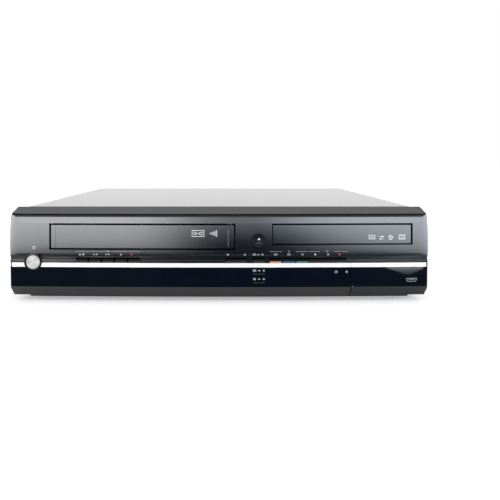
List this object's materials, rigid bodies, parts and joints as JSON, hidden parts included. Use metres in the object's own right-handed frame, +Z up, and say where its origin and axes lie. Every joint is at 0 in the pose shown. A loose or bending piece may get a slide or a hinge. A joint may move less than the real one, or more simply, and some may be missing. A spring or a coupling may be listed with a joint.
{
  "type": "cassette and disc recorder",
  "caption": "Low, wide recorder with a cassette door, a sliding disc tray, front keys, a fold-down socket flap, a sheet metal cover and rear sockets.",
  "frame": {"origin": "under the middle of the cabinet, on the surface it stands on", "axes": "+X to the right seen from the front, the front faces -Y, +Z up"},
  "size_m": [0.43, 0.357, 0.098],
  "materials": {
    "painted_cover": "satin black paint on steel sheet",
    "plated_steel": "zinc plated sheet",
    "gloss_fascia": "gloss dark grey moulding",
    "satin_trim": "satin dark trim",
    "silver_trim": "bright silver strip",
    "window_gloss": "piano black window",
    "key_dark": "dark keys",
    "key_orange": "lit key, orange",
    "key_blue": "lit key, blue",
    "key_green": "lit key, green",
    "foot_rubber": "black rubber",
    "board": "circuit board",
    "display_glass": "display tube",
    "socket_black": "socket moulding",
    "machined_alloy": "machined drum",
    "disk_casting": "drive casting",
    "white_acetal": "reel tables and gear",
    "black_abs": "tray and loader"
  },
  "bodies": {
    "cabinet": {"bottom_chassis": "plated_steel", "rear_panel": "plated_steel", "top_cover": "painted_cover", "cover_screws": "painted_cover", "feet": "foot_rubber", "front_fascia": "gloss_fascia", "top_trim": "satin_trim", "upper_band": "gloss_fascia", "silver_strip": "silver_trim", "display_window": "window_gloss", "front_board": "board", "display_module": "display_glass", "front_sockets": "socket_black", "main_board": "board", "power_board": "board", "tuner_module": "plated_steel", "scart_sockets": "socket_black", "phono_sockets": "socket_black", "hdmi_socket": "plated_steel", "power_inlet": "socket_black", "hard_disk": "disk_casting", "fan_frame": "socket_black", "deck_plate": "plated_steel", "lower_drum": "machined_alloy", "tape_guides": "plated_steel", "carriage_frame": "plated_steel", "loader_frame": "black_abs"},
    "socket_flap": {"flap_door": "window_gloss", "flap_trim": "silver_trim"},
    "cassette_flap": {"cassette_door": "gloss_fascia"},
    "power_button": {"power_button": "silver_trim"},
    "program_key": {"program_key": "key_dark"},
    "disc_eject_button": {"disc_eject_button": "key_dark"},
    "eject_stop_key": {"eject_stop_key": "key_dark"},
    "rewind_key": {"rewind_key": "key_dark"},
    "forward_key": {"forward_key": "key_dark"},
    "play_key": {"play_key": "key_dark"},
    "tape_record_key": {"tape_record_key": "key_dark"},
    "dubbing_key": {"dubbing_key": "key_dark"},
    "select_key_1": {"select_key_1": "key_orange"},
    "select_key_2": {"select_key_2": "key_blue"},
    "select_key_3": {"select_key_3": "key_green"},
    "disc_stop_key": {"disc_stop_key": "key_dark"},
    "disc_play_key": {"disc_play_key": "key_dark"},
    "disc_record_key": {"disc_record_key": "key_dark"},
    "fan": {"fan_rotor": "socket_black"},
    "head_drum": {"upper_drum": "machined_alloy"},
    "capstan": {"capstan_flywheel": "machined_alloy"},
    "pinch": {"pinch_arm": "plated_steel"},
    "supply_reel": {"supply_reel": "white_acetal"},
    "takeup_reel": {"takeup_reel": "white_acetal"},
    "slider": {"carriage_slider": "plated_steel"},
    "holder": {"cassette_holder": "plated_steel"},
    "tray": {"disc_tray": "black_abs", "tray_front": "gloss_fascia"},
    "tray_gear": {"tray_gear": "white_acetal"},
    "traverse": {"traverse_base": "black_abs"},
    "turntable": {"turntable": "black_abs"},
    "pickup": {"optical_pickup": "black_abs"},
    "clamp": {"disc_clamp": "black_abs"}
  },
  "joints": [
    {"name": "cassette_door_hinge", "type": "hinge", "parent": "cabinet", "child": "cassette_flap", "pos_m": [-0.0783, -0.1716, 0.0888], "axis": [-1, 0, 0], "range_deg": [-90, 0], "stiffness_Nm_per_rad": 0.02, "springref_deg": 11.46},
    {"name": "flap_hinge", "type": "hinge", "parent": "cabinet", "child": "socket_flap", "pos_m": [0.17, -0.1665, 0.0135], "axis": [1, 0, 0], "range_deg": [0, 85]},
    {"name": "eject_stop_key_press", "type": "slide", "parent": "cabinet", "child": "eject_stop_key", "axis": [0, 1, 0], "range_m": [0, 0.001], "stiffness_N_per_m": 300, "springref_m": -0.0002},
    {"name": "rewind_key_press", "type": "slide", "parent": "cabinet", "child": "rewind_key", "axis": [0, 1, 0], "range_m": [0, 0.001], "stiffness_N_per_m": 300, "springref_m": -0.0002},
    {"name": "forward_key_press", "type": "slide", "parent": "cabinet", "child": "forward_key", "axis": [0, 1, 0], "range_m": [0, 0.001], "stiffness_N_per_m": 300, "springref_m": -0.0002},
    {"name": "play_key_press", "type": "slide", "parent": "cabinet", "child": "play_key", "axis": [0, 1, 0], "range_m": [0, 0.001], "stiffness_N_per_m": 300, "springref_m": -0.0002},
    {"name": "tape_record_key_press", "type": "slide", "parent": "cabinet", "child": "tape_record_key", "axis": [0, 1, 0], "range_m": [0, 0.001], "stiffness_N_per_m": 300, "springref_m": -0.0002},
    {"name": "dubbing_key_press", "type": "slide", "parent": "cabinet", "child": "dubbing_key", "axis": [0, 1, 0], "range_m": [0, 0.001], "stiffness_N_per_m": 300, "springref_m": -0.0002},
    {"name": "select_key_1_press", "type": "slide", "parent": "cabinet", "child": "select_key_1", "axis": [0, 1, 0], "range_m": [0, 0.001], "stiffness_N_per_m": 300, "springref_m": -0.0002},
    {"name": "select_key_2_press", "type": "slide", "parent": "cabinet", "child": "select_key_2", "axis": [0, 1, 0], "range_m": [0, 0.001], "stiffness_N_per_m": 300, "springref_m": -0.0002},
    {"name": "select_key_3_press", "type": "slide", "parent": "cabinet", "child": "select_key_3", "axis": [0, 1, 0], "range_m": [0, 0.001], "stiffness_N_per_m": 300, "springref_m": -0.0002},
    {"name": "disc_stop_key_press", "type": "slide", "parent": "cabinet", "child": "disc_stop_key", "axis": [0, 1, 0], "range_m": [0, 0.001], "stiffness_N_per_m": 300, "springref_m": -0.0002},
    {"name": "disc_play_key_press", "type": "slide", "parent": "cabinet", "child": "disc_play_key", "axis": [0, 1, 0], "range_m": [0, 0.001], "stiffness_N_per_m": 300, "springref_m": -0.0002},
    {"name": "disc_record_key_press", "type": "slide", "parent": "cabinet", "child": "disc_record_key", "axis": [0, 1, 0], "range_m": [0, 0.001], "stiffness_N_per_m": 300, "springref_m": -0.0002},
    {"name": "power_press", "type": "slide", "parent": "cabinet", "child": "power_button", "axis": [0, 1, 0], "range_m": [0, 0.001], "stiffness_N_per_m": 300, "springref_m": -0.0002},
    {"name": "disc_eject_press", "type": "slide", "parent": "cabinet", "child": "disc_eject_button", "axis": [0, 1, 0], "range_m": [0, 0.001], "stiffness_N_per_m": 300, "springref_m": -0.0002},
    {"name": "program_rock", "type": "hinge", "parent": "cabinet", "child": "program_key", "pos_m": [0.0176, -0.1725, 0.0442], "axis": [0, 0, 1], "range_deg": [-2.5, 2.5], "stiffness_Nm_per_rad": 0.01},
    {"name": "carriage_slide", "type": "slide", "parent": "cabinet", "child": "slider", "axis": [0, 1, 0], "range_m": [0, 0.065]},
    {"name": "holder_drop", "type": "slide", "parent": "slider", "child": "holder", "axis": [0, 0, -1], "range_m": [0, 0.02]},
    {"name": "drum_spin", "type": "hinge", "parent": "cabinet", "child": "head_drum", "pos_m": [-0.0783, 0.0715, 0.024], "axis": [0.0872, 0, 0.9962], "continuous": true},
    {"name": "capstan_spin", "type": "hinge", "parent": "cabinet", "child": "capstan", "pos_m": [-0.0163, 0.0535, 0.02], "axis": [0, 0, 1], "continuous": true},
    {"name": "pinch_swing", "type": "hinge", "parent": "cabinet", "child": "pinch", "pos_m": [0.0077, 0.0675, 0.03], "axis": [0, 0, -1], "range_deg": [0, 14]},
    {"name": "supply_spin", "type": "hinge", "parent": "cabinet", "child": "supply_reel", "pos_m": [-0.1245, -0.0275, 0.026], "axis": [0, 0, 1], "continuous": true},
    {"name": "takeup_spin", "type": "hinge", "parent": "cabinet", "child": "takeup_reel", "pos_m": [-0.0321, -0.0275, 0.026], "axis": [0, 0, 1], "continuous": true},
    {"name": "tray_slide", "type": "slide", "parent": "cabinet", "child": "tray", "axis": [0, -1, 0], "range_m": [0, 0.142]},
    {"name": "tray_gear_spin", "type": "hinge", "parent": "cabinet", "child": "tray_gear", "pos_m": [0.079, -0.1605, 0.064], "axis": [0, 0, 1], "range_deg": [0, 910]},
    {"name": "traverse_lift", "type": "hinge", "parent": "cabinet", "child": "traverse", "pos_m": [0.126, -0.0025, 0.0595], "axis": [-1, 0, 0], "range_deg": [0, 3.4]},
    {"name": "turntable_spin", "type": "hinge", "parent": "traverse", "child": "turntable", "pos_m": [0.126, -0.0865, 0.06], "axis": [0, 0, 1], "continuous": true},
    {"name": "pickup_slide", "type": "slide", "parent": "traverse", "child": "pickup", "axis": [0, 1, 0], "range_m": [0, 0.034]},
    {"name": "clamp_spin", "type": "hinge", "parent": "cabinet", "child": "clamp", "pos_m": [0.126, -0.0865, 0.076], "axis": [0, 0, 1], "continuous": true},
    {"name": "fan_spin", "type": "hinge", "parent": "cabinet", "child": "fan", "pos_m": [-0.165, 0.1638, 0.056], "axis": [0, 1, 0], "continuous": true}
  ],
  "couplings": [
    {"joint": "tray_gear_spin", "follows": "tray_slide", "rad_per_m": 111.11}
  ]
}
